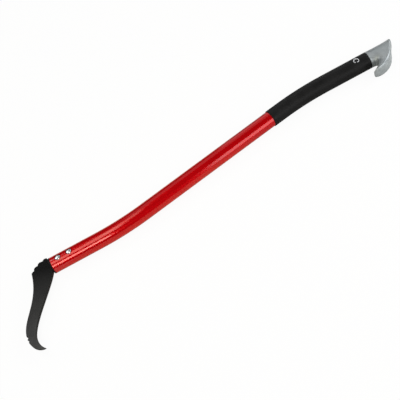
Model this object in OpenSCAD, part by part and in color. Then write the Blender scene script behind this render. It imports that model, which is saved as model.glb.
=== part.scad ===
// Pickaroon for rolling and dragging small logs: a flat steel hook pinned into an S-bent
// aluminium tube, with a drawn-on hand grip and a cast knob at the butt.
// The tool lies on its side, as it rests on a bench. +X runs from the head to the butt,
// the hook points to -Y and +Z is square to the hook plate. The origin is under the middle
// of the whole tool, on the surface that it rests on.

/* [Handle tube] */
// Outside diameter of the tube
tube_d = 30; // [28:0.5:33]
// Wall of the tube
tube_wall = 2; // [1.5:0.25:2.5]
// From the tube's mouth to the corner of the head bend
head_run = 141; // [125:1:180]
// From the corner of the head bend to the corner of the butt bend
mid_run = 410; // [300:1:520]
// From the corner of the butt bend to the tube's butt end
butt_run = 141; // [125:1:180]
// Angle of the bend next to the head
head_bend = 10.5; // [6:0.5:14]
// Angle of the bend under the grip, back the other way
butt_bend = 10.5; // [6:0.5:14]
// Centreline radius of both bends
bend_r = 540; // [300:10:600]

/* [Hook plate] */
// Thickness of the steel plate
plate_t = 6; // [4:0.5:9]
// How far the plate's shoulder reaches below the tube's axis
shoulder_low = 12.5; // [11:0.5:14.5]
// How far the point stands ahead of the shoulder
tip_ahead = 55.5; // [50:0.1:59]
// How far the point reaches below the tube's axis
tip_drop = 149.5; // [143:0.5:160]
// How far the throat, the deepest place inside the hook, stands ahead of the shoulder
throat_ahead = 65.3; // [62:0.1:68]
// Depth of the throat below the tube's axis
throat_drop = 124; // [118:1:130]
// How far the belly, the foremost place of the hook, stands ahead of the shoulder
belly_ahead = 80.8; // [77:0.1:86]
// Depth of the belly below the tube's axis
belly_drop = 115.3; // [108:0.1:120]
// Length over which both cheeks are ground down to the point
grind_len = 24; // [15:1:32]
// Thickness left at the point
point_t = 2.5; // [1.5:0.5:4]
// Angle of the point below the handle's line
point_angle = 47; // [35:1:60]

/* [Striking back] */
// Radius of the toothed back, to the tops of the teeth
back_r = 40.6; // [38:0.1:43]
// How far the back's centre stands ahead of the shoulder
back_ahead = 5.3; // [3:0.1:7]
// How far the back's centre lies below the tube's axis
back_drop = 19.8; // [18:0.1:22]
// Height of the teeth
tooth_h = 3.2; // [2:0.1:4.5]
// Angle from one tooth to the next, seen from the back's centre
tooth_pitch = 17; // [15:0.5:18.5]
// Radius of the gripping notches in the belly
notch_r = 2.6; // [1.5:0.1:3]
// Distance from one gripping notch to the next
notch_pitch = 6.3; // [5:0.1:8]

/* [Tang and its socket] */
// Length of the tang behind the shoulder
tang_len = 56; // [50:1:64]
// Width of the tang
tang_w = 21; // [18:0.5:22]
// Thickness of the ring between the tube's mouth and the shoulder
collar_t = 2.5; // [1.5:0.25:4]
// Length of the socket inside the tube
socket_len = 58; // [50:1:66]

/* [Pins] */
// Diameter of the two solid pins through the tang
head_pin_d = 10; // [8:0.5:11]
// From the tube's mouth to the first head pin
head_pin_at = 15.5; // [12:0.5:19]
// From one head pin to the other
head_pin_pitch = 22; // [18:0.5:26]
// Diameter of the slotted spring pin in the grip
butt_pin_d = 12; // [10:0.5:13]
// Wall of the slotted spring pin
butt_pin_wall = 2.3; // [1.5:0.1:2.8]
// Width of the spring pin's slot
butt_pin_slot = 2.8; // [1:0.1:4]
// How far the spring pin's ends lie below the grip's crown
butt_pin_sunk = 1.2; // [0:0.1:2]
// From the tube's butt end to the spring pin
butt_pin_at = 23; // [18:0.5:30]

/* [Grip] */
// Wall of the grip sleeve
grip_wall = 1.1; // [0.8:0.1:2]
// From the grip's front end to the corner of the butt bend
grip_lead = 74; // [70:1:110]

/* [Butt knob] */
// Length of the spigot inside the tube
spigot_len = 46; // [40:1:60]
// How far the crown of the knob stands out past the tube
crown_len = 57.5; // [50:0.5:64]
// How far the crown line rises over its length
crown_rise = 1.2; // [0:0.1:5]
// How far the heel reaches back past the tube's end
heel_back = 10; // [6:0.1:14]
// How far the heel reaches below the tube's axis
heel_drop = 39.7; // [37:0.1:46]
// Half thickness of the sole, square to the hook plate
sole_half = 14.8; // [12:0.1:16]
// How far the sole bulges past the line from the crown to the heel
sole_bulge = 18; // [14:0.1:22]
// How far the sole stands out past its own rim
sole_dome = 3.7; // [2:0.1:6]
// How far the sole swells out in a lobe beside the crown
crown_lobe = 1.6; // [0:0.1:3]
// How far the sole dips in between the crown's lobe and the heel's
sole_dip = 1.6; // [0:0.1:3]

/* [Clearances] */
// Gap round the inserts in the tube and round the tang in its socket
slip = 0.15; // [0.05:0.05:0.3]
// Gap round each pin
pin_slip = 0.05; // [0.02:0.01:0.1]

/* [Hidden] */
$fn = 72;
eps = 0.01;
// The straight runs reach this far over the bends, whose wall drawing has left a hair thinner
lap = 1;
drawn = 0.05;

tube_r = tube_d / 2;
bore_r = tube_r - tube_wall;
grip_r = tube_r + pin_slip + grip_wall;
insert_r = bore_r - slip;
edge = 0.5;
pin_edge = 0.8;
head_pins = [head_pin_at, head_pin_at + head_pin_pitch];

// Straight length that each bend takes from the runs on both its sides
head_cut = bend_r * tan(head_bend / 2);
butt_cut = bend_r * tan(butt_bend / 2);

// Mouth and butt end of the tube, seen from the corner of the head bend
mouth = head_run * [-cos(head_bend), sin(head_bend)];
butt = [mid_run, 0] + butt_run * [cos(butt_bend), -sin(butt_bend)];

function turned(p, angle) = [p[0] * cos(angle) - p[1] * sin(angle), p[0] * sin(angle) + p[1] * cos(angle)];
function unit(p) = p / norm(p);
function mix(a, b, t) = a + (b - a) * t;
function bezier(a, b, c, d, steps) = [
    for (i = [0:steps])
        let (t = i / steps)
        pow(1 - t, 3) * a + 3 * pow(1 - t, 2) * t * b + 3 * (1 - t) * t * t * c + pow(t, 3) * d
];

// Hook plate, seen from the middle of its shoulder: -x ahead of the tool, -y towards the point

tip = [-tip_ahead, -tip_drop];
throat = [-throat_ahead, -throat_drop];
belly = [-belly_ahead, -belly_drop];
back_centre = [-back_ahead, -back_drop];
root_low = [0, -shoulder_low];
root_top = [0, tube_r];
// Floor of the gullet between the collar and the first tooth
gullet = [-1.9, tube_r + 0.9];

// The back's teeth are round humps between sharp valleys, the last one half a hump
first_valley = 84.5;
back_sweep = 3.5 * tooth_pitch;
back_steps = 42;
back_edge = [
    for (i = [2:back_steps])
        let (a = back_sweep * i / back_steps)
        let (r = back_r - tooth_h * (1 - abs(sin(180 * a / tooth_pitch))))
        back_centre + r * [cos(first_valley + a), sin(first_valley + a)]
];
corner = back_edge[len(back_edge) - 1];

// The outer edge sweeps from the back's corner to the belly and turns in a quarter ellipse to the point
outer_lean = 5.4;
outer_pull = 66.6;
belly_pull = 38.6;
outer_edge = bezier(corner, corner - [outer_lean, outer_pull], belly + [0, belly_pull], belly, 20);
belly_span = tip - belly;
nose_edge = [
    for (i = [1:16])
        let (a = 90 * i / 16)
        [tip[0] - belly_span[0] * cos(a), belly[1] + belly_span[1] * sin(a)]
];

// One arc through the point, upright at the throat, then a long sweep up to the shoulder
throat_span = tip - throat;
throat_r = (throat_span * throat_span) / (2 * throat_span[0]);
throat_centre = throat + [throat_r, 0];
tip_angle = acos((throat_centre[0] - tip[0]) / throat_r);
throat_edge = [
    for (i = [1:10])
        let (a = tip_angle * (1 - i / 10))
        throat_centre - throat_r * [cos(a), sin(a)]
];
inner_lean = 16;
inner_pull = 34;
throat_pull = 28;
inner_edge = bezier(throat, throat + [0, throat_pull], root_low - [inner_lean, inner_pull], root_low, 20);

outline = concat([root_top, gullet], back_edge, outer_edge, nose_edge, throat_edge, inner_edge);

// Where along the nose the gripping notches are cut, as distances below the belly
notches = [for (k = [0:1]) k * notch_pitch];
function nose_x(drop) = tip[0] - belly_span[0] * sqrt(1 - pow(drop / belly_span[1], 2));

// Knob, seen from the middle of the tube's butt end: +x out of the butt, -y towards the heel.
// Its skin is a row of rings. The flare leads from the round neck to the rim of the sole, and
// the sole rounds over from the rim to the knob's outermost line.

ring_points = 40;
flare_rings = 12;
sole_rings = 7;
crown_lip = 3.1;
crown_dip = 0.3;
heel_lip = 2.1;
rim_crown = [crown_len - crown_lip, grip_r + crown_rise];
rim_heel = [heel_lip / 2 - heel_back, heel_lip - heel_drop];
rim_bulge = sole_bulge - sole_dome;
rim_skew = 0.19;
sole_skew = 0.36;
// Powers that square the round neck off to the rim: 1 is an ellipse, less is squarer
rim_square = 0.57;
sole_fullness = 0.67;
waist = 1.5;
crook_deep = 14.5;
crook_rise = 13.5;

// The lobe and the dip lie on each ring by how far along it they are: 1 at the crown, -1 at the heel
lobe_at = 0.83;
lobe_spread = 0.13;
dip_at = 0.4;
dip_spread = 0.26;
function wave(along, at, spread) = exp(-pow((along - at) / spread, 2));
function swell(along) =
    crown_lobe * wave(along, lobe_at, lobe_spread) - sole_dip * wave(along, dip_at, dip_spread);

// The crook under the neck, from the neck's heel side to the rim's heel
crook_turn = [crook_deep, rim_heel[1] + crook_rise];
crook = bezier([0, -grip_r], [crook_deep, -grip_r], crook_turn, rim_heel, flare_rings);

// Each ring: crown point, heel point, bulge, its skew to the heel, half thickness, squareness
// and how much of the lobe and the dip it has
flare = [
    for (i = [0:flare_rings])
        let (t = i / flare_rings)
        [
            mix([0, grip_r], rim_crown, t),
            crook[i],
            rim_bulge * t * t,
            rim_skew * t,
            mix(grip_r, sole_half, t) - waist * sin(180 * t),
            mix(1, rim_square, pow(t, 1.4)),
            pow(t, 3)
        ]
];
sole = [
    for (i = [1:sole_rings])
        let (a = 90 * i / (sole_rings + 0.35))
        [
            rim_crown + [crown_lip, -crown_dip] * sin(a),
            rim_heel - [heel_lip / 2, heel_lip] * sin(a),
            mix(rim_bulge, sole_bulge, sin(a)),
            mix(rim_skew, sole_skew, sin(a)),
            sole_half * pow(cos(a), sole_fullness),
            rim_square,
            1
        ]
];

function power(v, p) = sign(v) * pow(abs(v), p);
function ring(r) =
    let (middle = (r[0] + r[1]) / 2)
    let (half = (r[0] - r[1]) / 2)
    let (out = unit([half[1], -half[0]]))
    [
        for (k = [0:ring_points - 1])
            let (a = 360 * k / ring_points)
            let (along = power(cos(a), r[5]))
            let (push = r[2] * (1 - along * along) * (1 - r[3] * along) + r[6] * swell(along))
            let (p = middle + half * along + out * push)
            [p[0], p[1], r[4] * power(sin(a), r[5])]
    ];
rings = [for (r = concat(flare, sole)) ring(r)];
last_ring = len(rings) - 1;

// Reach of the whole tool, from which the origin follows

hook_reach = [for (p = outline) mouth + turned(p - [collar_t, 0], -head_bend)];
knob_reach = [for (r = rings) for (p = r) butt + turned([p[0], p[1]], -butt_bend)];
reach_x = [for (p = concat(hook_reach, knob_reach)) p[0]];
reach_y = [for (p = concat(hook_reach, knob_reach)) p[1]];
centre_x = (min(reach_x) + max(reach_x)) / 2;
centre_y = (min(reach_y) + max(reach_y)) / 2;

// Places

module placed() {
    translate([-centre_x, -centre_y, grip_r]) children();
}

module at_mouth() {
    translate([mouth[0], mouth[1], 0]) rotate([0, 0, -head_bend]) children();
}

module at_butt() {
    translate([butt[0], butt[1], 0]) rotate([0, 0, -butt_bend]) children();
}

// Tube shapes along the S-bend

module pipe(length, outer, inner, start_edge = 0, end_edge = 0) {
    rotate([0, 90, 0]) rotate_extrude() polygon([
        [inner, 0], [outer - start_edge, 0], [outer, start_edge],
        [outer, length - end_edge], [outer - end_edge, length], [inner, length]
    ]);
}

module bent_pipe(angle, outer, inner) {
    rotate_extrude(angle = angle) translate([bend_r, 0]) difference() {
        circle(r = outer - drawn);
        circle(r = inner + drawn);
    }
}

module head_bend_pipe(outer, inner) {
    translate([head_cut, bend_r, 0]) rotate([0, 0, -90 - head_bend]) bent_pipe(head_bend, outer, inner);
}

module butt_bend_pipe(outer, inner) {
    translate([mid_run - butt_cut, -bend_r, 0]) rotate([0, 0, 90 - butt_bend])
        bent_pipe(butt_bend, outer, inner);
}

// The last straight run, up to the tube's butt end
module butt_pipe(outer, inner, end_edge = 0) {
    length = butt_run - butt_cut + lap;
    at_butt() translate([-length, 0, 0]) pipe(length, outer, inner, 0, end_edge);
}

// A round cross hole or pin, square to the hook plate
module across(r, x, length) {
    translate([x, 0, -length / 2]) cylinder(r = r, h = length);
}

module rod(r, length, edge_w) {
    translate([0, 0, -length / 2]) rotate_extrude() polygon([
        [0, 0], [r - edge_w, 0], [r, edge_w],
        [r, length - edge_w], [r - edge_w, length], [0, length]
    ]);
}

// Sub-parts

module hook_head() {
    color("#3c3d3f") placed() at_mouth() difference() {
        translate([-collar_t, 0, -plate_t / 2]) linear_extrude(plate_t) hook_outline();
        for (side = [0, 1]) mirror([0, 0, side]) translate([-collar_t, 0, 0]) grind();
    }
}

module hook_outline() {
    difference() {
        union() {
            polygon(outline);
            translate([-eps, -tang_w / 2]) square([tang_len + eps, tang_w]);
        }
        for (x = head_pins) translate([x + collar_t, 0]) circle(r = head_pin_d / 2 + pin_slip);
        for (drop = notches)
            translate([nose_x(drop) - notch_r * 0.2, belly[1] - drop]) circle(r = notch_r);
    }
}

// Wedge that grinds one cheek down towards the point
module grind() {
    grind_angle = atan((plate_t - point_t) / 2 / grind_len);
    translate([tip[0], tip[1], point_t / 2]) rotate([0, 0, -point_angle]) rotate([0, grind_angle, 0])
        translate([-grind_len, -3 * grind_len, 0]) cube([2 * grind_len, 6 * grind_len, plate_t]);
}

module tang_socket() {
    color("#1b1b1c") placed() at_mouth() difference() {
        union() {
            translate([-collar_t, 0, 0]) pipe(collar_t, tube_r, 0, edge, 0);
            translate([-eps, 0, 0]) pipe(socket_len + eps, insert_r, 0, 0, edge);
        }
        translate([-2 * collar_t, -tang_w / 2 - slip, -plate_t / 2 - slip])
            cube([socket_len + 3 * collar_t, tang_w + 2 * slip, plate_t + 2 * slip]);
        for (x = head_pins) across(head_pin_d / 2 + pin_slip, x, tube_d);
    }
}

module handle_tube() {
    color("#b3141c") placed() difference() {
        union() {
            at_mouth() pipe(head_run - head_cut + lap, tube_r, bore_r);
            head_bend_pipe(tube_r, bore_r);
            translate([head_cut - lap, 0, 0]) pipe(mid_run - head_cut - butt_cut + 2 * lap, tube_r, bore_r);
            butt_bend_pipe(tube_r, bore_r);
            butt_pipe(tube_r, bore_r);
        }
        at_mouth() for (x = head_pins) across(head_pin_d / 2 + pin_slip, x, 2 * tube_d);
        at_butt() across(butt_pin_d / 2 + pin_slip, -butt_pin_at, 2 * tube_d);
    }
}

module head_pin(x) {
    color("#d9dadc") placed() at_mouth() translate([x, 0, 0]) rod(head_pin_d / 2, tube_d, pin_edge);
}

module head_pin_front() {
    head_pin(head_pins[0]);
}

module head_pin_rear() {
    head_pin(head_pins[1]);
}

module grip_sleeve() {
    inner = tube_r + pin_slip;
    color("#202021") placed() difference() {
        union() {
            translate([mid_run - grip_lead, 0, 0]) pipe(grip_lead - butt_cut + lap, grip_r, inner, edge, 0);
            butt_bend_pipe(grip_r, inner);
            butt_pipe(grip_r, inner, edge);
        }
        at_butt() across(butt_pin_d / 2 + pin_slip, -butt_pin_at, 2 * tube_d);
    }
}

module knob_skin() {
    n = ring_points;
    polyhedron(
        points = [for (r = rings) for (p = r) p],
        faces = concat(
            [[for (k = [0:n - 1]) k]],
            [
                for (i = [0:last_ring - 1]) for (k = [0:n - 1])
                    let (j = (k + 1) % n)
                    each [
                        [i * n + k, (i + 1) * n + k, (i + 1) * n + j],
                        [i * n + k, (i + 1) * n + j, i * n + j]
                    ]
            ],
            [
                for (k = [0:n / 2 - 1])
                    let (a = last_ring * n + k)
                    let (b = last_ring * n + (n - k) % n)
                    let (c = last_ring * n + n - k - 1)
                    each k == 0 ? [[a, c, a + 1]]
                        : k == n / 2 - 1 ? [[a, b, a + 1]]
                        : [[a, b, c], [a, c, a + 1]]
            ]
        )
    );
}

module butt_cap() {
    color("#9a9fa3") placed() at_butt() {
        knob_skin();
        difference() {
            translate([-spigot_len, 0, 0]) pipe(spigot_len + edge, insert_r, 0, edge, 0);
            across(butt_pin_d / 2 + pin_slip, -butt_pin_at, tube_d);
        }
    }
}

// The slot faces the heel side, a little towards the head
module butt_pin() {
    slot_angle = -112;
    color("#d9dadc") placed() at_butt() translate([-butt_pin_at, 0, 0]) difference() {
        rod(butt_pin_d / 2, 2 * (grip_r - butt_pin_sunk), pin_edge);
        across(butt_pin_d / 2 - butt_pin_wall, 0, 2 * tube_d);
        rotate([0, 0, slot_angle]) translate([0, -butt_pin_slot / 2, -tube_d])
            cube([butt_pin_d, butt_pin_slot, 2 * tube_d]);
    }
}

hook_head();
tang_socket();
handle_tube();
head_pin_front();
head_pin_rear();
grip_sleeve();
butt_cap();
butt_pin();
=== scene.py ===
"""Looks of a hand pickaroon: a steel hook on an S-bent red tube with a grip and a cast knob."""

import logging
import math
from collections.abc import Sequence
from dataclasses import dataclass
from enum import Enum

import bmesh
import bpy
from mathutils import Matrix, Vector


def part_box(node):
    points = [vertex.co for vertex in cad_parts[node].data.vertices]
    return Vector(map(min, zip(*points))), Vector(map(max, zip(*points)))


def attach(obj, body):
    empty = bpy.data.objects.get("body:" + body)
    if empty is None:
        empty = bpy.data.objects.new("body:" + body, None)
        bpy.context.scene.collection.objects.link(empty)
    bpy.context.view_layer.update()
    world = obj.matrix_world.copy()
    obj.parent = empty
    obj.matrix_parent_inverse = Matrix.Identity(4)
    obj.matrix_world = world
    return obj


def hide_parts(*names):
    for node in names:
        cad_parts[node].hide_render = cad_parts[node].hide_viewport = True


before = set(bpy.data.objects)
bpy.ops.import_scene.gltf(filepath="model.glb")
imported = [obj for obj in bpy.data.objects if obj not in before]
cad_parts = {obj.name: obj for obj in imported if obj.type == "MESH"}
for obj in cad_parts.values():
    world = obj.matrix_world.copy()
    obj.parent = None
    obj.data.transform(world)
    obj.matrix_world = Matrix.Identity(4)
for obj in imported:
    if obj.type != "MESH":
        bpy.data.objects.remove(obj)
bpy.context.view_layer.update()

log = logging.getLogger("pickaroon")
MM = 0.001
WELD = 1e-7
DRILL_REACH = 40.0
WAVES_PER_UNIT = 20
WHITE = "#FFFFFF"
Point = tuple[float, float, float]
Flat = tuple[float, float]


# Small helpers


def linear(colour: str) -> tuple[float, float, float, float]:
    """Turn an sRGB hex colour into linear values.

    Args:
        colour: six hex digits after a hash.

    Returns:
        Red, green, blue and an alpha of 1.
    """
    parts = [int(colour[i : i + 2], 16) / 255 for i in (1, 3, 5)]
    bent = [c / 12.92 if c <= 0.04045 else ((c + 0.055) / 1.055) ** 2.4 for c in parts]
    return (bent[0], bent[1], bent[2], 1.0)


def grain(size_mm: float) -> float:
    """Return the texture scale whose features are about this many millimetres across."""
    return 1.0 / (size_mm * MM)


def add(
    tree: bpy.types.NodeTree,
    kind: str,
    inputs: dict | None = None,
    out: int | str = 0,
    **settings: object,
) -> bpy.types.NodeSocket | None:
    """Add one node with its settings, values and links.

    Args:
        tree: the material's or world's node tree.
        kind: the node's type without its ShaderNode prefix.
        inputs: socket name or number to a value, or to the output socket that feeds it.
        out: name or number of the wanted output socket.
        settings: the node's own properties.

    Returns:
        The wanted output socket, or None for a node that ends the tree.
    """
    made = tree.nodes.new("ShaderNode" + kind)
    for name, value in settings.items():
        setattr(made, name, value)
    for key, value in (inputs or {}).items():
        if isinstance(value, bpy.types.NodeSocket):
            tree.links.new(value, made.inputs[key])
        else:
            made.inputs[key].default_value = value
    return made.outputs[out] if made.outputs else None


def mix(a: float, b: float, t: float) -> float:
    """Return the value t of the way from a to b."""
    return a + (b - a) * t


def bezier(points: Sequence[Flat], t: float) -> Flat:
    """Return the point at t on the cubic curve of four control points."""
    weights = ((1 - t) ** 3, 3 * (1 - t) ** 2 * t, 3 * (1 - t) * t * t, t**3)
    return (
        sum(w * p[0] for w, p in zip(weights, points)),
        sum(w * p[1] for w, p in zip(weights, points)),
    )


def skin(
    name: str, rows: Sequence[Sequence[Point]], wrap: bool, ends: tuple[bool, bool]
) -> bmesh.types.BMesh:
    """Skin a stack of closed rows with quads.

    Args:
        name: what the skin is for, used in the log.
        rows: rows of as many points each, in metres, each row a closed loop.
        wrap: whether the last row joins back to the first.
        ends: whether the first and the last row are closed with a face.

    Returns:
        The new mesh, which the caller frees.
    """
    bm = bmesh.new()
    made = [[bm.verts.new(p) for p in row] for row in rows]
    count = len(rows[0])
    pairs = list(zip(made[:-1], made[1:])) + ([(made[-1], made[0])] if wrap else [])
    for low, high in pairs:
        for k in range(count):
            j = (k + 1) % count
            bm.faces.new((low[k], low[j], high[j], high[k]))
    if ends[0]:
        bm.faces.new(tuple(reversed(made[0])))
    if ends[1]:
        bm.faces.new(tuple(made[-1]))
    bm.normal_update()
    log.debug("%s: %d rows of %d points", name, len(rows), count)
    return bm


def join(bm: bmesh.types.BMesh, other: bmesh.types.BMesh) -> None:
    """Add a second mesh to the first.

    Args:
        bm: the mesh that grows.
        other: the mesh that is added, freed here.
    """
    mesh = bpy.data.meshes.new("joined")
    other.to_mesh(mesh)
    other.free()
    bm.from_mesh(mesh)
    bpy.data.meshes.remove(mesh)


def load(name: str, bm: bmesh.types.BMesh) -> bpy.types.Object:
    """Put a mesh into the scene as an object, and free it.

    Args:
        name: the object's name.
        bm: its mesh.

    Returns:
        The object.
    """
    mesh = bpy.data.meshes.new(name)
    bm.to_mesh(mesh)
    bm.free()
    made = bpy.data.objects.new(name, mesh)
    bpy.context.scene.collection.objects.link(made)
    return made


def drilled(bm: bmesh.types.BMesh, holes: Sequence[tuple["Place", float]]) -> bmesh.types.BMesh:
    """Drill round holes right through a closed mesh, square to the hook plate.

    Args:
        bm: the mesh, freed here.
        holes: the middle of each hole and its radius in millimetres.

    Returns:
        The drilled mesh.
    """
    bmesh.ops.remove_doubles(bm, verts=bm.verts, dist=WELD)
    bmesh.ops.recalc_face_normals(bm, faces=bm.faces)
    stock = load("stock", bm)
    bits = []
    for place, radius in holes:
        bit = load("drill", turned("drill", place, ((radius, -DRILL_REACH), (radius, DRILL_REACH))))
        cut = stock.modifiers.new("drill", "BOOLEAN")
        cut.operation, cut.solver, cut.object = "DIFFERENCE", "EXACT", bit
        bits.append(bit)
    graph = bpy.context.evaluated_depsgraph_get()
    done = bpy.data.meshes.new_from_object(stock.evaluated_get(graph))
    bm = bmesh.new()
    bm.from_mesh(done)
    bpy.data.meshes.remove(done)
    for used in [stock, *bits]:
        mesh = used.data
        bpy.data.objects.remove(used)
        bpy.data.meshes.remove(mesh)
    return bm


def piece(
    name: str, bm: bmesh.types.BMesh, material: bpy.types.Material, sharp_deg: float
) -> bpy.types.Object:
    """Turn a mesh into a finished piece of the tool.

    Args:
        name: the piece's name.
        bm: its mesh, freed here.
        material: its finish.
        sharp_deg: edges that turn by more than this angle stay sharp.

    Returns:
        The piece, riding on the tool's one body.
    """
    bmesh.ops.remove_doubles(bm, verts=bm.verts, dist=WELD)
    bmesh.ops.recalc_face_normals(bm, faces=bm.faces)
    for face in bm.faces:
        face.smooth = True
    for edge in bm.edges:
        edge.smooth = not (edge.is_manifold and edge.calc_face_angle(0.0) > math.radians(sharp_deg))
    made = load(name, bm)
    made.data.materials.append(material)
    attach(made, "root")
    log.info("%s: %d faces", name, len(made.data.polygons))
    return made


# Layout of the tool, in millimetres


@dataclass(frozen=True)
class Place:
    """A frame on the tool: a point and a turn about Z, in radians."""

    x: float
    y: float
    z: float
    turn: float

    def row(self, along: float, across: float, up: float = 0.0) -> Point:
        """Return a local point in millimetres as a point of the row frame in metres."""
        c, s = math.cos(self.turn), math.sin(self.turn)
        return (
            (self.x + along * c - across * s) * MM,
            (self.y + along * s + across * c) * MM,
            (self.z + up) * MM,
        )

    def moved(self, along: float) -> "Place":
        """Return this place moved along its own axis."""
        c, s = math.cos(self.turn), math.sin(self.turn)
        return Place(self.x + along * c, self.y + along * s, self.z, self.turn)


@dataclass(frozen=True)
class Handle:
    """The S-bent centreline that every piece is placed on."""

    head_run: float = 141.0
    mid_run: float = 410.0
    butt_run: float = 141.0
    head_bend: float = math.radians(10.5)
    butt_bend: float = math.radians(10.5)
    bend_r: float = 540.0
    tube_r: float = 15.0
    bore_r: float = 13.0
    grip_r: float = 16.15
    head_pins: tuple[float, float] = (15.5, 37.5)
    butt_pin_at: float = 23.0
    butt_hole_r: float = 6.05
    corner: Flat = (0.0, 0.0)

    @classmethod
    def from_frame(cls) -> "Handle":
        """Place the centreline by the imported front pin.

        Returns:
            The handle, with the corner of its head bend in row millimetres.
        """
        low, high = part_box("head_pin_front")
        middle = (low + high) / 2 / MM
        plain = cls()
        reach = plain.head_run - plain.head_pins[0]
        corner = (
            middle.x + reach * math.cos(plain.head_bend),
            middle.y - reach * math.sin(plain.head_bend),
        )
        return cls(corner=corner)

    @property
    def head_cut(self) -> float:
        """Straight length that the head bend takes from its neighbours."""
        return self.bend_r * math.tan(self.head_bend / 2)

    @property
    def butt_cut(self) -> float:
        """Straight length that the butt bend takes from its neighbours."""
        return self.bend_r * math.tan(self.butt_bend / 2)

    @property
    def stops(self) -> tuple[float, float, float, float, float]:
        """Distances from the mouth to both ends of both bends and to the butt end."""
        first = self.head_run - self.head_cut
        second = first + self.bend_r * self.head_bend
        third = second + self.mid_run - self.head_cut - self.butt_cut
        fourth = third + self.bend_r * self.butt_bend
        return (first, second, third, fourth, fourth + self.butt_run - self.butt_cut)

    def station(self, distance: float) -> Place:
        """Find the centreline's frame at a distance from the tube's mouth.

        Args:
            distance: millimetres along the tube.

        Returns:
            The place, turned along the tube.
        """
        first, second, third, fourth, _ = self.stops
        if distance <= first:
            turn = -self.head_bend
            back = distance - self.head_run
            x, y = back * math.cos(turn), back * math.sin(turn)
        elif distance <= second:
            turn = (distance - first) / self.bend_r - self.head_bend
            x = self.head_cut + self.bend_r * math.sin(turn)
            y = self.bend_r - self.bend_r * math.cos(turn)
        elif distance <= third:
            turn, x, y = 0.0, self.head_cut + distance - second, 0.0
        elif distance <= fourth:
            turn = -(distance - third) / self.bend_r
            x = self.mid_run - self.butt_cut - self.bend_r * math.sin(turn)
            y = -self.bend_r + self.bend_r * math.cos(turn)
        else:
            turn = -self.butt_bend
            on = distance - fourth + self.butt_cut
            x, y = self.mid_run + on * math.cos(turn), on * math.sin(turn)
        return Place(self.corner[0] + x, self.corner[1] + y, self.grip_r, turn)

    @property
    def mouth(self) -> Place:
        """Frame at the tube's mouth."""
        return self.station(0.0)

    @property
    def butt(self) -> Place:
        """Frame at the tube's butt end."""
        return self.station(self.stops[4])

    @property
    def butt_hole(self) -> tuple[Place, float]:
        """Middle and radius of the hole for the spring pin in the grip."""
        return self.butt.moved(-self.butt_pin_at), self.butt_hole_r

    def spread(self, start: float, end: float, step: float = 4.0) -> list[float]:
        """List evenly spaced distances along the tube.

        Args:
            start: first distance.
            end: last distance.
            step: wanted spacing.

        Returns:
            Rising distances with both ends in them.
        """
        count = max(1, round((end - start) / step))
        return [start + (end - start) * i / count for i in range(count + 1)]


def circle(count: int) -> list[float]:
    """List the angles of evenly spaced points round a circle."""
    return [2 * math.pi * k / count for k in range(count)]


def turned(name: str, place: Place, profile: Sequence[Flat], sides: int = 64) -> bmesh.types.BMesh:
    """Turn a solid bar about the axis square to the hook plate.

    Args:
        name: what the bar is for.
        place: the middle of the bar.
        profile: radius and height of each ring, from the bottom to the top.
        sides: points round the bar.

    Returns:
        The bar's closed mesh.
    """
    rows = [[place.row(r * math.cos(a), r * math.sin(a), z) for a in circle(sides)] for r, z in profile]
    return skin(name, rows, False, (True, True))


def swept_wall(
    name: str, handle: Handle, profile: Sequence[Flat], sides: int = 96
) -> bmesh.types.BMesh:
    """Sweep a closed wall profile round the handle's centreline, with its lay stored as UV in metres.

    Args:
        name: what the wall is for.
        handle: the centreline.
        profile: distance along the tube and radius, once round the wall.
        sides: points round the tube.

    Returns:
        The wall's mesh.
    """
    rows = []
    for distance, radius in profile:
        place = handle.station(distance)
        rows.append([place.row(0.0, radius * math.cos(a), radius * math.sin(a)) for a in circle(sides)])
    bm = skin(name, rows, True, (False, False))
    lay = bm.loops.layers.uv.new("lay")
    girth = 2 * math.pi * max(r for _, r in profile) * MM
    for number, face in enumerate(bm.faces):
        row, side = divmod(number, sides)
        low, high = profile[row][0], profile[(row + 1) % len(profile)][0]
        corners = ((low, side), (low, side + 1), (high, side + 1), (high, side))
        for loop, (along, turn) in zip(face.loops, corners):
            loop[lay].uv = (along * MM, girth * turn / sides)
    return bm


# Finishes


def start(name: str) -> tuple[bpy.types.Material, bpy.types.NodeTree]:
    """Start a material.

    Args:
        name: the finish's name.

    Returns:
        The material and its empty node tree.
    """
    material = bpy.data.materials.new(name)
    material.use_nodes = True
    material.node_tree.nodes.clear()
    return material, material.node_tree


def close(tree: bpy.types.NodeTree, inputs: dict) -> None:
    """Join a surface with these inputs to the material's output."""
    add(tree, "OutputMaterial", {"Surface": add(tree, "BsdfPrincipled", inputs)})


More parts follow.
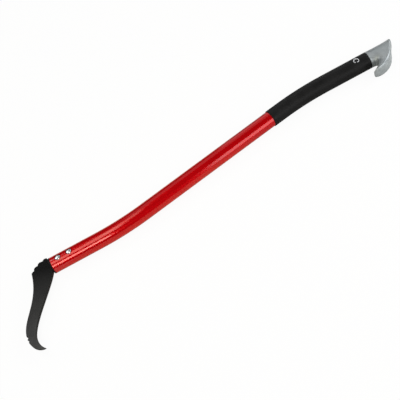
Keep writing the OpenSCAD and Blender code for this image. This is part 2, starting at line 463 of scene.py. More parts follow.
@dataclass(frozen=True)
class DyedAluminium:
    """Drawn aluminium tube, dyed red and lacquered: a metal glow under a thin clear gloss."""

    name: str = "dyed_aluminium_red"
    colour: str = "#C6040C"
    deep: str = "#BA030A"
    # Painted shade for the pin holes' walls and the ring round them
    painted_hole_shade: str = "#2A0507"
    holes: tuple[tuple[Point, float], ...] = ()

    def material(self) -> bpy.types.Material:
        """Build the finish.

        Returns:
            A material whose drawing lines follow the tube by its stored lay.
        """
        material, tree = start(self.name)
        lay = add(tree, "UVMap", uv_map="lay")
        # Drawing lines are hairlines; they are drawn 0.6 mm wide and 120 mm long so that they show
        stretched = add(tree, "Mapping", {0: lay, 3: (0.005, 1.0, 1.0)})
        lines = add(tree, "TexNoise", {"Vector": stretched, "Scale": grain(0.6), "Detail": 3.0})
        cloud = add(tree, "TexNoise", {"Vector": lay, "Scale": grain(45.0), "Detail": 2.0})
        both = add(tree, "Math", {0: lines, 1: cloud}, operation="ADD")
        tone = add(tree, "MapRange", {0: both, 1: 0.75, 2: 1.25})
        dye = {0: tone, 6: linear(self.deep), 7: linear(self.colour)}
        colour = add(tree, "Mix", dye, 2, data_type="RGBA")
        # Painted shade: the hole walls and a ring about 1 mm wide round each pin hole are darkened, as
        # if shaded by the gap round the pin
        position = add(tree, "TexCoord", out="Object")
        shade: bpy.types.NodeSocket | float = 0.0
        for (x, y, _), hole_r in self.holes:
            shifted = add(tree, "VectorMath", {0: position, 1: (x, y, 0.0)}, operation="SUBTRACT")
            flat = add(tree, "VectorMath", {0: shifted, 1: (1.0, 1.0, 0.0)}, operation="MULTIPLY")
            far = add(tree, "VectorMath", {0: flat}, "Value", operation="LENGTH")
            near, gone = (hole_r + 0.25) * MM, (hole_r + 1.05) * MM
            ring = add(tree, "MapRange", {0: far, 1: near, 2: gone, 3: 1.0, 4: 0.0})
            shade = add(tree, "Math", {0: ring, 1: shade}, operation="MAXIMUM")
        colour = add(tree, "Mix", {0: shade, 6: colour, 7: linear(self.painted_hole_shade)}, 2, data_type="RGBA")
        # Handling leaves fine dull scuffs, a few millimetres long
        marks = {"Vector": lay, "Scale": grain(7.0), "Detail": 6.0, "Roughness": 0.7}
        scuffs = add(tree, "TexNoise", marks)
        # All the white gloss comes from the lacquer, so the coloured layer under it has none
        close(tree, {
            "Base Color": colour,
            "Metallic": 0.32,
            "Roughness": add(tree, "MapRange", {0: scuffs, 1: 0.62, 2: 0.75, 3: 0.3, 4: 0.38}),
            "Specular IOR Level": 0.0,
            "Coat Weight": 0.9,
            "Coat Roughness": 0.1,
            "Normal": add(tree, "Bump", {"Strength": 0.02, "Distance": 0.01 * MM, "Height": lines}),
        })
        return material


@dataclass(frozen=True)
class BlackenedSteel:
    """Forged steel, blackened and oiled: satin black that turns grey towards the point, with painted
    shade on the eased edges and sides.
    """

    name: str = "blackened_forged_steel"
    colour: str = "#0A0A0B"
    point_grey: str = "#4C4C4D"
    # Painted shade for the eased edges and the sides
    edge: str = "#191919"
    point: Point = (0.0, 0.0, 0.0)
    reach: float = 156.0

    def material(self) -> bpy.types.Material:
        """Build the finish.

        Returns:
            A material that greys towards the point.
        """
        material, tree = start(self.name)
        position = add(tree, "TexCoord", out="Object")
        # The plate turns lighter grey towards the point, in uneven patches
        away = add(tree, "VectorMath", {0: position, 1: self.point}, "Value", operation="DISTANCE")
        near = add(tree, "MapRange", {0: away, 1: 0.0, 2: self.reach * MM, 3: 1.0, 4: 0.0})
        patches = add(tree, "TexNoise", {"Vector": position, "Scale": grain(28.0), "Detail": 4.0})
        uneven = add(tree, "MapRange", {0: patches, 1: 0.3, 2: 0.7, 3: 0.75, 4: 1.1})
        greying = add(tree, "Math", {0: near, 1: uneven}, operation="MULTIPLY")
        rub = {0: greying, 6: linear(self.colour), 7: linear(self.point_grey)}
        colour = add(tree, "Mix", rub, 2, data_type="RGBA")
        # Forging scale leaves a pebbled skin of about 1.5 mm; the oiled grit in it is finer
        scale = add(tree, "TexNoise", {"Vector": position, "Scale": grain(1.5), "Detail": 4.0})
        speck = add(tree, "MapRange", {0: scale, 1: 0.35, 2: 0.7, 3: 0.86, 4: 1.1})
        spots = {0: 1.0, 6: colour, 7: speck}
        colour = add(tree, "Mix", spots, 2, data_type="RGBA", blend_type="MULTIPLY")
        # Painted shade: faces that turn away from straight up, the eased edges and the sides, are
        # darkened towards the edge colour
        upright = add(tree, "SeparateXYZ", {0: add(tree, "TexCoord", out="Normal")}, 2)
        painted_side_shade = add(tree, "MapRange", {0: upright, 1: 0.5, 2: 0.96, 3: 1.0, 4: 0.0})
        colour = add(tree, "Mix", {0: painted_side_shade, 6: colour, 7: linear(self.edge)}, 2, data_type="RGBA")
        close(tree, {
            "Base Color": colour,
            "Metallic": 0.25,
            "Specular IOR Level": 0.12,
            "Roughness": add(tree, "MapRange", {0: scale, 1: 0.3, 2: 0.7, 3: 0.42, 4: 0.54}),
            "Normal": add(tree, "Bump", {"Strength": 0.25, "Distance": 0.05 * MM, "Height": scale}),
        })
        return material


@dataclass(frozen=True)
class BlastedCasting:
    """Sand-cast aluminium, bead blasted: a soft pale grey metal with a fine matt tooth."""

    name: str = "blasted_cast_aluminium"
    colour: str = "#B1B6B9"
    shade: str = "#969DA0"

    def material(self) -> bpy.types.Material:
        """Build the finish.

        Returns:
            The casting's material.
        """
        material, tree = start(self.name)
        position = add(tree, "TexCoord", out="Object")
        cloud = add(tree, "TexNoise", {"Vector": position, "Scale": grain(18.0), "Detail": 3.0})
        # Blasting beads leave 0.1 mm dimples; they are drawn 0.6 mm across so that they show
        tooth = add(tree, "TexNoise", {"Vector": position, "Scale": grain(0.6), "Detail": 2.0})
        both = add(tree, "Math", {0: cloud, 1: tooth}, operation="ADD")
        tone = add(tree, "MapRange", {0: both, 1: 0.75, 2: 1.25})
        grey = {0: tone, 6: linear(self.shade), 7: linear(self.colour)}
        close(tree, {
            "Base Color": add(tree, "Mix", grey, 2, data_type="RGBA"),
            "Metallic": 0.75,
            "Roughness": add(tree, "MapRange", {0: cloud, 1: 0.3, 2: 0.7, 3: 0.42, 4: 0.54}),
            "Normal": add(tree, "Bump", {"Strength": 0.3, "Distance": 0.04 * MM, "Height": tooth}),
        })
        return material


@dataclass(frozen=True)
class ShrunkSleeve:
    """Heat-shrunk polyolefin: near black, satin, with a faint lengthwise draw from shrinking."""

    name: str = "shrunk_polyolefin_black"
    colour: str = "#121213"
    dust: str = "#1A1A1B"

    def material(self) -> bpy.types.Material:
        """Build the finish.

        Returns:
            The sleeve's material, laid along the grip.
        """
        material, tree = start(self.name)
        lay = add(tree, "UVMap", uv_map="lay")
        drawn = add(tree, "Mapping", {0: lay, 3: (0.12, 1.0, 1.0)})
        creep = add(tree, "TexNoise", {"Vector": drawn, "Scale": grain(2.5), "Detail": 3.0})
        # The film's skin has a 0.4 mm pebble, drawn 0.8 mm across so that it shows
        pebble = add(tree, "TexVoronoi", {"Vector": lay, "Scale": grain(0.8)})
        cloud = add(tree, "TexNoise", {"Vector": lay, "Scale": grain(30.0), "Detail": 4.0})
        tone = add(tree, "MapRange", {0: cloud, 1: 0.4, 2: 0.75})
        black = {0: tone, 6: linear(self.colour), 7: linear(self.dust)}
        relief = add(tree, "Math", {0: creep, 1: pebble}, operation="ADD")
        close(tree, {
            "Base Color": add(tree, "Mix", black, 2, data_type="RGBA"),
            "IOR": 1.49,
            "Specular IOR Level": 0.17,
            "Roughness": add(tree, "MapRange", {0: cloud, 1: 0.3, 2: 0.7, 3: 0.44, 4: 0.58}),
            "Normal": add(tree, "Bump", {"Strength": 0.2, "Distance": 0.08 * MM, "Height": relief}),
        })
        return material


class Turning(Enum):
    """How the bright steel was cut."""

    FACED = "faced"
    ROLLED = "rolled"


@dataclass(frozen=True)
class BrightSteel:
    """Bright pin steel: faced ends with fine turning rings, or rolled strip with a plain skin."""

    name: str
    turning: Turning
    colour: str = "#D6D7D9"
    smeared: str = "#B9BBBE"
    centre: Point = (0.0, 0.0, 0.0)

    def material(self) -> bpy.types.Material:
        """Build the finish.

        Returns:
            The pin's material.
        """
        material, tree = start(self.name)
        faced = self.turning is Turning.FACED
        position = add(tree, "TexCoord", out="Object")
        smear = add(tree, "TexNoise", {"Vector": position, "Scale": grain(3.0), "Detail": 3.0})
        tone = add(tree, "MapRange", {0: smear, 1: 0.35, 2: 0.7})
        bright = {0: tone, 6: linear(self.colour), 7: linear(self.smeared)}
        height = smear
        if faced:
            about = add(tree, "VectorMath", {0: position, 1: self.centre}, operation="SUBTRACT")
            # Facing rings are 0.1 mm apart; they are drawn 0.5 mm apart so that they show
            rings = {"Vector": about, "Scale": grain(0.5) / WAVES_PER_UNIT, "Distortion": 0.3}
            height = add(tree, "TexWave", rings, 1, wave_type="RINGS", rings_direction="Z")
        smooth, rough = (0.18, 0.3) if faced else (0.3, 0.42)
        close(tree, {
            "Base Color": add(tree, "Mix", bright, 2, data_type="RGBA"),
            "Metallic": 1.0,
            "Roughness": add(tree, "MapRange", {0: smear, 1: 0.3, 2: 0.7, 3: smooth, 4: rough}),
            "Normal": add(tree, "Bump", {"Strength": 0.15, "Distance": 0.02 * MM, "Height": height}),
        })
        return material


@dataclass(frozen=True)
class MouldedNylon:
    """Glass-filled nylon, moulded: matt black with a dry fine grain."""

    name: str = "moulded_nylon_black"
    colour: str = "#0B0B0C"
    spark: str = "#141415"

    def material(self) -> bpy.types.Material:
        """Build the finish.

        Returns:
            The socket's material.
        """
        material, tree = start(self.name)
        position = add(tree, "TexCoord", out="Object")
        fibre = add(tree, "TexNoise", {"Vector": position, "Scale": grain(0.5), "Detail": 2.0})
        black = {0: fibre, 6: linear(self.colour), 7: linear(self.spark)}
        # The dry grain traps most of the glancing light
        close(tree, {
            "Base Color": add(tree, "Mix", black, 2, data_type="RGBA"),
            "IOR": 1.53,
            "Specular IOR Level": 0.15,
            "Roughness": add(tree, "MapRange", {0: fibre, 1: 0.3, 2: 0.7, 3: 0.5, 4: 0.66}),
            "Normal": add(tree, "Bump", {"Strength": 0.2, "Distance": 0.04 * MM, "Height": fibre}),
        })
        return material


@dataclass(frozen=True)
class WhitePaper:
    """Matt background paper: even white with a faint fibre, and a painted reflection and shade in its
    gloss.
    """

    name: str = "white_paper"
    colour: str = "#F4F4F4"
    fibre: str = "#F8F8F8"
    painted_red_bounce: str = "#F4D2C0"
    painted_grip_shade: str = "#B9B9B9"
    clear: str = "#FAFAFA"
    white_share: float = 0.94

    def material(self) -> bpy.types.Material:
        """Build the finish.

        Returns:
            A material that stays white to the camera and keeps the tool's shadow.
        """
        material, tree = start(self.name)
        # The fibre is about 0.3 mm wide, drawn 2 mm across so that it shows
        position = add(tree, "TexCoord", out="Object")
        fibre = add(tree, "TexNoise", {"Vector": position, "Scale": grain(2.0)})
        felt = {0: fibre, 6: linear(self.colour), 7: linear(self.fibre)}
        paper = add(tree, "Mix", felt, 2, data_type="RGBA")
        # Painted reflection and shade: to glossy rays the paper beside the tube is tinted red and beside
        # the grip grey, and is clean past both ends
        along = add(tree, "SeparateXYZ", {0: position})
        at_grip = add(tree, "MapRange", {0: along, 1: 0.04, 2: 0.14})
        beside = {0: at_grip, 6: linear(self.painted_red_bounce), 7: linear(self.painted_grip_shade)}
        tinted = add(tree, "Mix", beside, 2, data_type="RGBA")
        past_butt = add(tree, "MapRange", {0: along, 1: 0.34, 2: 0.38})
        past_mouth = add(tree, "MapRange", {0: along, 1: -0.34, 2: -0.3, 3: 1.0, 4: 0.0})
        past = add(tree, "Math", {0: past_butt, 1: past_mouth}, operation="MAXIMUM")
        painted_gloss_paper = add(tree, "Mix", {0: past, 6: tinted, 7: linear(self.clear)}, 2, data_type="RGBA")
        glossy = add(tree, "LightPath", out="Is Glossy Ray")
        paper = add(tree, "Mix", {0: glossy, 6: paper, 7: painted_gloss_paper}, 2, data_type="RGBA")
        matt = add(tree, "BsdfDiffuse", {"Color": paper})
        glow = add(tree, "Emission", {"Color": linear(WHITE), "Strength": 1.0})
        camera = add(tree, "LightPath", out="Is Camera Ray")
        seen = add(tree, "Math", {0: camera, 1: self.white_share}, operation="MULTIPLY")
        add(tree, "OutputMaterial", {"Surface": add(tree, "MixShader", {0: seen, 1: matt, 2: glow})})
        return material


# Sub-assemblies


@dataclass
class HookHead:
    """The forged hook plate: toothed back, long blade, notched belly, point and hidden tang."""

    handle: Handle
    plate_t: float = 6.0
    collar_t: float = 2.5
    shoulder_low: float = 12.5
    tip: Flat = (-55.5, -149.5)
    throat: Flat = (-65.3, -124.0)
    belly: Flat = (-80.8, -115.3)
    back_centre: Flat = (-5.3, -19.8)
    back_r: float = 40.6
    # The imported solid's teeth are 3.2 mm high, and the photo's are a little shallower
    tooth_h: float = 2.4
    tooth_pitch: float = 17.0
    teeth: float = 3.5
    first_valley: float = 84.5
    gullet: Flat = (-1.9, 0.9)
    outer_lean: float = 5.4
    outer_pull: float = 66.6
    belly_pull: float = 38.6
    inner_lean: float = 16.0
    inner_pull: float = 34.0
    throat_pull: float = 28.0
    grind_len: float = 24.0
    point_t: float = 2.5
    point_angle: float = math.radians(47.0)
    notch_r: float = 2.6
    notch_pitch: float = 6.3
    tang_len: float = 56.0
    tang_w: float = 21.0
    eased_in: float = 0.7
    eased_down: float = 0.6
    nose_steps: int = 110
    sweep_steps: int = 60
    back_steps: int = 140
    blade_share: float = 0.66

    @property
    def shoulder(self) -> Place:
        """Frame at the middle of the plate's shoulder."""
        return self.handle.mouth.moved(-self.collar_t)

    def back_point(self, t: float) -> Flat:
        """Find a point of the toothed back.

        Args:
            t: 0 at the collar, 1 at the corner.

        Returns:
            The point in the shoulder's frame.
        """
        sweep = self.teeth * self.tooth_pitch * t
        r = self.back_r - self.tooth_h * (1 - abs(math.sin(math.pi * sweep / self.tooth_pitch)))
        a = math.radians(self.first_valley + sweep)
        return (self.back_centre[0] + r * math.cos(a), self.back_centre[1] + r * math.sin(a))

    def outer_path(self) -> list[Flat]:
        """List the outer edge from the point round the belly and the back to the collar.

        Returns:
            Points in the shoulder's frame.
        """
        span = (self.tip[0] - self.belly[0], self.tip[1] - self.belly[1])
        nose = [
            (self.tip[0] - span[0] * math.cos(a), self.belly[1] + span[1] * math.sin(a))
            for a in (math.pi / 2 * (1 - i / self.nose_steps) for i in range(self.nose_steps))
        ]
        corner = self.back_point(1.0)
        curve = (
            self.belly,
            (self.belly[0], self.belly[1] + self.belly_pull),
            (corner[0] - self.outer_lean, corner[1] - self.outer_pull),
            corner,
        )
        sweep = [bezier(curve, i / self.sweep_steps) for i in range(self.sweep_steps)]
        # The last tooth's flank stops short of the collar, where the gullet starts
        steps = range(self.back_steps + 1)
        back = [self.back_point(1 - i / self.back_steps * 20 / 21) for i in steps]
        gullet = (self.gullet[0], self.handle.tube_r + self.gullet[1])
        return nose + sweep + back + [gullet, (0.0, self.handle.tube_r)]

    def inner_path(self) -> list[Flat]:
        """List the inner edge, from the point to the shoulder, with a point for each outer one.

        Returns:
            Points in the shoulder's frame.
        """
        dx, dy = self.tip[0] - self.throat[0], self.tip[1] - self.throat[1]
        r = (dx * dx + dy * dy) / (2 * dx)
        centre = (self.throat[0] + r, self.throat[1])
        end = math.acos((centre[0] - self.tip[0]) / r)
        arc = [
            (centre[0] - r * math.cos(a), centre[1] - r * math.sin(a))
            for a in (end * (1 - i / self.nose_steps) for i in range(self.nose_steps))
        ]
        root = (0.0, -self.shoulder_low)
        curve = (
            self.throat,
            (self.throat[0], self.throat[1] + self.throat_pull),
            (root[0] - self.inner_lean, root[1] - self.inner_pull),
            root,
        )
        first, rest = self.blade_share, 1 - self.blade_share
        blade = [bezier(curve, first * i / self.sweep_steps) for i in range(self.sweep_steps)]
        count = self.back_steps + 2
        neck = [bezier(curve, first + rest * i / count) for i in range(count + 1)]
        return arc + blade + neck

    def notched(self, outer: Flat, inner: Flat) -> Flat:
        """Push an edge point in to the floor of a gripping notch where one is cut.

        Args:
            outer: the plain edge point.
            inner: the point across the blade from it.

        Returns:
            The point on the notched edge.
        """
        span = (self.tip[0] - self.belly[0], self.tip[1] - self.belly[1])
        gap = math.hypot(inner[0] - outer[0], inner[1] - outer[1]) or 1.0
        way = ((inner[0] - outer[0]) / gap, (inner[1] - outer[1]) / gap)
        for drop in (0.0, self.notch_pitch):
            edge_x = self.tip[0] - span[0] * math.sqrt(1 - (drop / span[1]) ** 2)
            off = (outer[0] - edge_x + self.notch_r * 0.2, outer[1] - self.belly[1] + drop)
            along = off[0] * way[0] + off[1] * way[1]
            inside = along * along - off[0] ** 2 - off[1] ** 2 + self.notch_r**2
            if off[0] ** 2 + off[1] ** 2 < self.notch_r**2:
                push = math.sqrt(inside) - along
                return (outer[0] + push * way[0], outer[1] + push * way[1])
        return outer

    def half_thickness(self, at: Flat) -> float:
        """Find half the plate's thickness, less where the cheeks are ground.

        Args:
            at: the point in the shoulder's frame.

        Returns:
            Half the thickness there.
        """
        off = (self.tip[0] - at[0], self.tip[1] - at[1])
        back = off[0] * math.cos(self.point_angle) - off[1] * math.sin(self.point_angle)
        share = min(1.0, max(0.0, back / self.grind_len))
        return mix(self.point_t, self.plate_t, share) / 2

    def rung(self, outer: Flat, inner: Flat) -> list[Point]:
        """Section the blade between two edge points, with eased corners.

        Args:
            outer: point on the outer edge.
            inner: point on the inner edge.

        Returns:
            A closed loop of points in the row frame.
        """
        width = math.hypot(inner[0] - outer[0], inner[1] - outer[1])
        ease = min(self.eased_in, 0.4 * width)
        top: list[tuple[float, float]] = []
        for i in range(6):
            a = math.pi / 2 * i / 5
            top.append((ease * (1 - math.cos(a)), math.sin(a)))
        across = top + [(mix(ease, width - ease, i / 8), 1.0) for i in range(1, 8)]
        across += [(width - d, h) for d, h in reversed(top)]
        loop: list[Point] = []
        for side, steps in ((1, across), (-1, list(reversed(across)))):
            for d, h in steps:
                share = d / width if width > 1e-6 else 0.0
                at = (mix(outer[0], inner[0], share), mix(outer[1], inner[1], share))
                half = self.half_thickness(at)
                down = min(self.eased_down, 0.6 * half)
                loop.append(self.shoulder.row(at[0], at[1], side * (half - down + down * h)))
        return loop

    def tang(self) -> bmesh.types.BMesh:
        """Build the tang that runs into the socket.

        Returns:
            The tang's closed mesh.
        """
        half, wide = self.plate_t / 2, self.tang_w / 2
        corners = ((-1, -1), (1, -1), (1, 1), (-1, 1))
        rows = [
            [self.shoulder.row(x, sy * w, sz * half) for sy, sz in corners]
            for x, w in ((0.0, wide), (self.tang_len - 1, wide), (self.tang_len, wide - 1))
        ]
        return skin("tang", rows, False, (True, True))

    def build(self) -> bpy.types.Object:
        """Build and dress the hook plate.

        Returns:
            The piece that stands for the CAD hook.
        """
        pairs = list(zip(self.outer_path(), self.inner_path()))
        rows = [self.rung(self.notched(o, i), i) for o, i in pairs[1:]]
        bm = skin("blade", rows, False, (True, True))
        join(bm, self.tang())
        finish = BlackenedSteel(point=self.shoulder.row(*self.tip))
        made = piece("hook_plate", bm, finish.material(), 35.0)
        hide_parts("hook_head")
        return made


@dataclass
class HandleTube:
    """The drawn tube and the black socket in its mouth."""

    handle: Handle
    pin_hole_r: float = 5.05

    def build(self) -> bpy.types.Object:
        """Build and dress the tube.

        Returns:
            The piece that stands for the CAD tube.
        """
        h = self.handle
        end = h.stops[4]
        along = h.spread(0.4, end - 0.2)
        profile = [(0.0, h.tube_r - 0.4)]
        profile += [(d, h.tube_r) for d in along]
        profile += [(end, h.tube_r - 0.2), (end, h.bore_r)]
        profile += [(d, h.bore_r) for d in reversed(h.spread(12.0, end - 6.0, 12.0))]
        profile += [(0.0, h.bore_r)]
        holes = [(h.mouth.moved(d), self.pin_hole_r) for d in h.head_pins] + [h.butt_hole]
        finish = DyedAluminium(holes=tuple((place.row(0.0, 0.0), r) for place, r in holes))
        wall = drilled(swept_wall("tube", h, profile), holes)
        made = piece("bent_tube", wall, finish.material(), 40.0)
        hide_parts("handle_tube")
        return made

    def dress_socket(self) -> None:
        """Give the socket, whose shape is right as packed, its moulded finish."""
        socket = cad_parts["tang_socket"]
        finish = MouldedNylon().material()
        for slot in socket.material_slots:
            slot.material = finish
        log.info("tang_socket: dressed as packed")


@dataclass
class HeadPins:
    """The two solid pins through the tang, whose flat ends are rounded over to the edge."""

    handle: Handle
    r: float = 5.0
    fall: float = 0.75

    def build(self) -> list[bpy.types.Object]:
        """Build and dress both pins.

        Returns:
            The two pieces that stand for the CAD pins.
        """
        made = []
        top = self.handle.tube_r
        half = [(self.r * k / 20 + 0.02, top - self.fall * (k / 20) ** 4) for k in range(20)]
        half.append((self.r, top - self.fall - 0.2))
        profile = [(r, -z) for r, z in half] + [(r, z) for r, z in reversed(half)]
        for name, node, along in zip(
            ("front_pin", "rear_pin"), ("head_pin_front", "head_pin_rear"), self.handle.head_pins
        ):
            place = self.handle.mouth.moved(along)
            x, y, _ = place.row(0.0, 0.0)
            finish = BrightSteel("bright_" + name, Turning.FACED, centre=(x, y, 0.0))
            pin = piece(name, turned(name, place, profile), finish.material(), 28.0)
            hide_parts(node)
            made.append(pin)
        return made


@dataclass
class Grip:
    """The shrunk sleeve over the butt bend and the rolled spring pin that holds the knob."""

    handle: Handle
    lead: float = 74.0
    inner_r: float = 15.05
    pin_r: float = 6.0
    pin_wall: float = 2.3
    pin_slot: float = 2.8
    pin_sunk: float = 1.2
    outer_round: float = 0.6
    inner_round: float = 0.35
    slot_angle: float = math.radians(-112.0)

    def build_sleeve(self) -> bpy.types.Object:
        """Build and dress the sleeve.

        Returns:
            The piece that stands for the CAD sleeve.
        """
        h = self.handle
        start = h.stops[1] - h.head_cut + h.mid_run - self.lead
        end = h.stops[4]
        along = h.spread(start + 0.7, end - 0.7)
        profile = [(start, self.inner_r + 0.1), (start, h.grip_r - 0.5), (start + 0.2, h.grip_r - 0.15)]
        profile += [(d, h.grip_r) for d in along]
        profile += [(end - 0.2, h.grip_r - 0.15), (end, h.grip_r - 0.5), (end, self.inner_r + 0.1)]
        profile += [(d, self.inner_r) for d in reversed(h.spread(start + 4, end - 4, 8.0))]
        wall = drilled(swept_wall("grip", h, profile), [h.butt_hole])
        made = piece("grip_skin", wall, ShrunkSleeve().material(), 50.0)
        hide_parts("grip_sleeve")
        return made

    def build_pin(self) -> bpy.types.Object:
        """Build and dress the slotted pin.

        Returns:
            The piece that stands for the CAD butt pin.
        """
        place, _ = self.handle.butt_hole
        top, bore = self.handle.grip_r - self.pin_sunk, self.pin_r - self.pin_wall
        turn = [math.radians(15 * i) for i in range(7)]
        r1, r2 = self.outer_round, self.inner_round
        rim = [(self.pin_r - r1 + r1 * math.cos(a), top - r1 + r1 * math.sin(a)) for a in turn]
        rim += [(bore + r2 - r2 * math.sin(a), top - r2 + r2 * math.cos(a)) for a in turn[::2]]
        section = [(r, -z) for r, z in reversed(rim)] + rim
        rows = []
        for k in range(73):
            row = []
            for r, z in section:
                lip = math.asin(self.pin_slot / 2 / r)
                a = self.slot_angle + mix(lip, 2 * math.pi - lip, k / 72)
                row.append(place.row(r * math.cos(a), r * math.sin(a), z))
            rows.append(row)
        rolled = skin("spring pin", rows, False, (True, True))
        finish = BrightSteel("bright_spring_pin", Turning.ROLLED)
        made = piece("spring_pin", rolled, finish.material(), 30.0)
        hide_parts("butt_pin")
        return made


@dataclass
class ButtKnob:
    """The cast knob: a round neck that flares into a domed sole with a crown and a hooked heel."""

    handle: Handle
    crown_len: float = 57.5
    crown_rise: float = 1.2
    heel_back: float = 10.0
    heel_drop: float = 39.7
    sole_half: float = 14.8
    sole_bulge: float = 18.0
    sole_dome: float = 3.7
    crown_lobe: float = 1.6
    sole_dip: float = 1.6
    crown_lip: float = 3.1
    crown_dip: float = 0.3
    heel_lip: float = 2.1
    rim_skew: float = 0.19
    sole_skew: float = 0.36
    rim_square: float = 0.57
    sole_fullness: float = 0.67
    waist: float = 1.5
    crook_deep: float = 14.5
    crook_rise: float = 13.5
    lobe_at: float = 0.83
    lobe_spread: float = 0.13
    dip_at: float = 0.4
    dip_spread: float = 0.26
    spigot_len: float = 46.0
    spigot_r: float = 12.85
    points: int = 128
    neck_rings: int = 60
    sole_rings: int = 18
    sole_turn: float = 90 * 7 / 7.35

    def swell(self, along: float) -> float:
        """Return how far the crown's lobe and the dip beside it push the skin out."""
        lobe = self.crown_lobe * math.exp(-(((along - self.lobe_at) / self.lobe_spread) ** 2))
        return lobe - self.sole_dip * math.exp(-(((along - self.dip_at) / self.dip_spread) ** 2))

    def ring(
        self,
        crown: Flat,
        heel: Flat,
        bulge: float,
        skew: float,
        half: float,
        square: float,
        share: float,
    ) -> list[Point]:
        """Make one ring of the knob's skin.

        Args:
            crown: its crown point in the butt's frame.
            heel: its heel point.
            bulge: how far it bulges outwards.
            skew: how much of the bulge moves to the heel.
            half: half its thickness.
            square: 1 for an ellipse, less for a squarer ring.
            share: how much of the lobe and the dip it has.

        Returns:
            The ring's points in the row frame.
        """
        middle = ((crown[0] + heel[0]) / 2, (crown[1] + heel[1]) / 2)
        arm = ((crown[0] - heel[0]) / 2, (crown[1] - heel[1]) / 2)
        length = math.hypot(*arm)
        out = (arm[1] / length, -arm[0] / length)
        made = []
        for k in range(self.points):
            a = 2 * math.pi * k / self.points
            c, s = math.cos(a), math.sin(a)
            along = math.copysign(abs(c) ** square, c)
            push = bulge * (1 - along * along) * (1 - skew * along) + share * self.swell(along)
            made.append(self.handle.butt.row(
                middle[0] + arm[0] * along + out[0] * push,
                middle[1] + arm[1] * along + out[1] * push,
                half * math.copysign(abs(s) ** square, s),
            ))
        return made

    def rings(self) -> list[list[Point]]:
        """Stack the rings from the neck over the rim to the sole's outermost line.

        Returns:
            The rings' points in the row frame.
        """
        neck_r = self.handle.grip_r
        rim_crown = (self.crown_len - self.crown_lip, neck_r + self.crown_rise)
        rim_heel = (self.heel_lip / 2 - self.heel_back, self.heel_lip - self.heel_drop)
        rim_bulge = self.sole_bulge - self.sole_dome
        crook = (
            (0.0, -neck_r),
            (self.crook_deep, -neck_r),
            (self.crook_deep, rim_heel[1] + self.crook_rise),
            rim_heel,
        )
        made = []
        for i in range(self.neck_rings + 1):
            t = i / self.neck_rings
            crown = (mix(0.0, rim_crown[0], t), mix(neck_r, rim_crown[1], t))
            half = mix(neck_r, self.sole_half, t) - self.waist * math.sin(math.pi * t)
            square = mix(1.0, self.rim_square, t**1.4)
            heel, bulge = bezier(crook, t), rim_bulge * t * t
            made.append(self.ring(crown, heel, bulge, self.rim_skew * t, half, square, t**3))
        # The sole's turn stops just short of flat, so that its last line has a width
        for i in range(1, self.sole_rings + 1):
            a = math.radians(self.sole_turn) * i / self.sole_rings
            grow = math.sin(a)
            made.append(self.ring(
                (rim_crown[0] + self.crown_lip * grow, rim_crown[1] - self.crown_dip * grow),
                (rim_heel[0] - self.heel_lip / 2 * grow, rim_heel[1] - self.heel_lip * grow),
                mix(rim_bulge, self.sole_bulge, grow),
                mix(self.rim_skew, self.sole_skew, grow),
                self.sole_half * math.cos(a) ** self.sole_fullness,
                self.rim_square,
                1.0,
            ))
        return made

    def build(self) -> bpy.types.Object:
        """Build and dress the knob.

        Returns:
            The piece that stands for the CAD knob.
        """
        rings = self.rings()
        bm = skin("knob", rings, False, (False, False))
        bm.verts.ensure_lookup_table()
        last = (len(rings) - 1) * self.points
        n = self.points
        for k in range(n // 2):
            four = [bm.verts[last + i] for i in (k, k + 1, n - k - 1, (n - k) % n)]
            bm.faces.new(tuple(dict.fromkeys(four)))
        butt, end = self.handle.butt, self.spigot_len
        stub = (
            (0.0, self.handle.grip_r),
            (0.0, self.spigot_r),
            (0.5 - end, self.spigot_r),
            (-end, self.spigot_r - 0.5),
        )
        rows = [[butt.row(x, r * math.cos(a), r * math.sin(a)) for a in circle(n)] for x, r in stub]
        join(bm, skin("spigot", rows, False, (False, True)))
        solid = drilled(bm, [self.handle.butt_hole])
        made = piece("cast_knob", solid, BlastedCasting().material(), 60.0)
        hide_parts("butt_cap")
        return made


# Studio


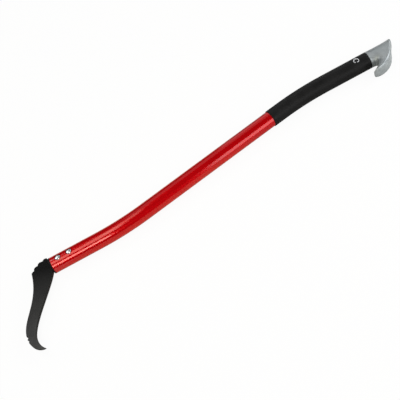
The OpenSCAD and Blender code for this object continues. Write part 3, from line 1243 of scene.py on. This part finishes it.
@dataclass
class Studio:
    """Pale floor, soft lamps and the camera, as the tool lies on its side."""

    azimuth: float = 13.296
    elevation: float = 51.519
    roll: float = -26.185
    distance: float = 1361.9
    focal_px: float = 771.97
    aim: Flat = (135.8, -53.5)
    frame_px: float = 400.0
    sensor: float = 36.0
    room_glow: float = 0.1
    wall_glow: float = 0.015

    def view(self) -> tuple[Vector, Vector, Vector]:
        """Work out how the camera is turned.

        Returns:
            Its right, up and forward directions.
        """
        az, el, roll = (math.radians(v) for v in (self.azimuth, self.elevation, self.roll))
        forward = Vector((math.sin(az) * math.cos(el), math.cos(az) * math.cos(el), -math.sin(el)))
        level = Vector((math.cos(az), -math.sin(az), 0.0))
        above = level.cross(forward)
        right = math.cos(roll) * level + math.sin(roll) * above
        up = -math.sin(roll) * level + math.cos(roll) * above
        return right, up, forward

    def camera(self, handle: Handle) -> bpy.types.Object:
        """Set up the camera.

        Args:
            handle: the centreline, whose head corner the camera was placed from.

        Returns:
            The scene's camera.
        """
        right, up, forward = self.view()
        target = Vector((handle.corner[0] + self.aim[0], handle.corner[1] + self.aim[1], handle.grip_r))
        data = bpy.data.cameras.new("camera")
        data.sensor_width = self.sensor
        data.lens = self.focal_px / self.frame_px * self.sensor
        data.clip_end = 50.0
        made = bpy.data.objects.new("camera", data)
        turn = Matrix((right, up, -forward)).transposed().to_4x4()
        made.matrix_world = Matrix.Translation((target - forward * self.distance) * MM) @ turn
        bpy.context.scene.collection.objects.link(made)
        bpy.context.scene.camera = made
        return made

    def lamp(
        self,
        name: str,
        at: Point,
        size: Flat,
        glow: float,
        towards: Point = (0.0, 0.0, 0.0),
        tint: str = WHITE,
    ) -> bpy.types.Object:
        """Hang one soft lamp.

        Args:
            name: the lamp's name.
            at: where it hangs, in metres.
            size: its width and its height.
            glow: how bright its face is, where white paper in full light is 1.
            towards: the point that it faces.
            tint: the colour of its light.

        Returns:
            The lamp.
        """
        data = bpy.data.lights.new(name, "AREA")
        data.shape = "RECTANGLE"
        data.size, data.size_y = size
        data.energy = glow * math.pi * size[0] * size[1]
        data.color = linear(tint)[:3]
        made = bpy.data.objects.new(name, data)
        way = (Vector(towards) - Vector(at)).normalized()
        side = (Vector((1.0, 0.0, 0.0)) - way * way.x).normalized()
        turn = Matrix((side, (-way).cross(side), -way)).transposed().to_4x4()
        made.matrix_world = Matrix.Translation(at) @ turn
        bpy.context.scene.collection.objects.link(made)
        return made

    def floor(self) -> bpy.types.Object:
        """Lay the paper that the tool lies on.

        Returns:
            The floor.
        """
        bm = bmesh.new()
        bmesh.ops.create_grid(bm, x_segments=8, y_segments=8, size=8.0)
        made = load("floor", bm)
        made.data.materials.append(WhitePaper().material())
        made.location.z = -0.0002
        return made

    def world(self) -> None:
        """Light the room evenly, with walls white to the camera and dark in the lacquer."""
        world = bpy.data.worlds.new("room")
        world.use_nodes = True
        tree = world.node_tree
        tree.nodes.clear()
        lit, shown, walls = (
            add(tree, "Background", {"Color": linear(WHITE), "Strength": strength})
            for strength in (self.room_glow, 1.0, self.wall_glow)
        )
        glossy = add(tree, "LightPath", out="Is Glossy Ray")
        camera = add(tree, "LightPath", out="Is Camera Ray")
        room = add(tree, "MixShader", {0: glossy, 1: lit, 2: walls})
        add(tree, "OutputWorld", {"Surface": add(tree, "MixShader", {0: camera, 1: room, 2: shown})})
        bpy.context.scene.world = world

    def build(self, handle: Handle) -> None:
        """Set up the floor, the lamps, the room and the camera.

        Args:
            handle: the centreline that the camera looks at.
        """
        self.floor()
        self.world()
        warm = "#FFFCEA"
        self.lamp("head_top", (-0.52, -0.1, 1.55), (0.6, 0.84), 2.9, (-0.32, -0.05, 0.0), warm)
        self.lamp("bend_top", (-0.2, 0.28, 1.52), (0.32, 0.85), 1.75, (-0.2, 0.1, 0.0), warm)
        self.lamp("head_front", (-1.04, -1.72, 1.5), (0.9, 0.85), 7.0, (-0.3, 0.0, 0.0), warm)
        self.lamp("butt_front", (0.92, -1.7, 0.72), (1.15, 1.35), 2.9, (0.1, 0.0, 0.2))
        self.lamp("back_left", (-0.98, 1.3, 1.5), (1.2, 0.8), 3.0, (-0.3, 0.0, 0.0))
        self.lamp("back_middle", (0.4, 1.1, 1.5), (0.95, 1.4), 0.45, (0.1, 0.0, 0.0))
        self.lamp("right_side", (1.8, -0.3, 1.0), (1.3, 1.2), 4.0)
        self.lamp("back_right", (1.25, 1.25, 1.5), (0.8, 0.6), 2.0, (0.35, 0.0, 0.0))
        self.lamp("back_panel", (1.0, 1.8, 0.9), (1.1, 1.2), 0.7)
        self.camera(handle)
        bpy.context.scene.view_settings.view_transform = "Standard"


def main() -> None:
    """Build the tool's pieces in order, then the studio."""
    logging.basicConfig(level=logging.INFO, format="%(name)s: %(message)s")
    handle = Handle.from_frame()
    HookHead(handle).build()
    tube = HandleTube(handle)
    tube.build()
    tube.dress_socket()
    HeadPins(handle).build()
    grip = Grip(handle)
    grip.build_sleeve()
    grip.build_pin()
    ButtKnob(handle).build()
    Studio().build(handle)


if __name__ == "__main__":
    main()
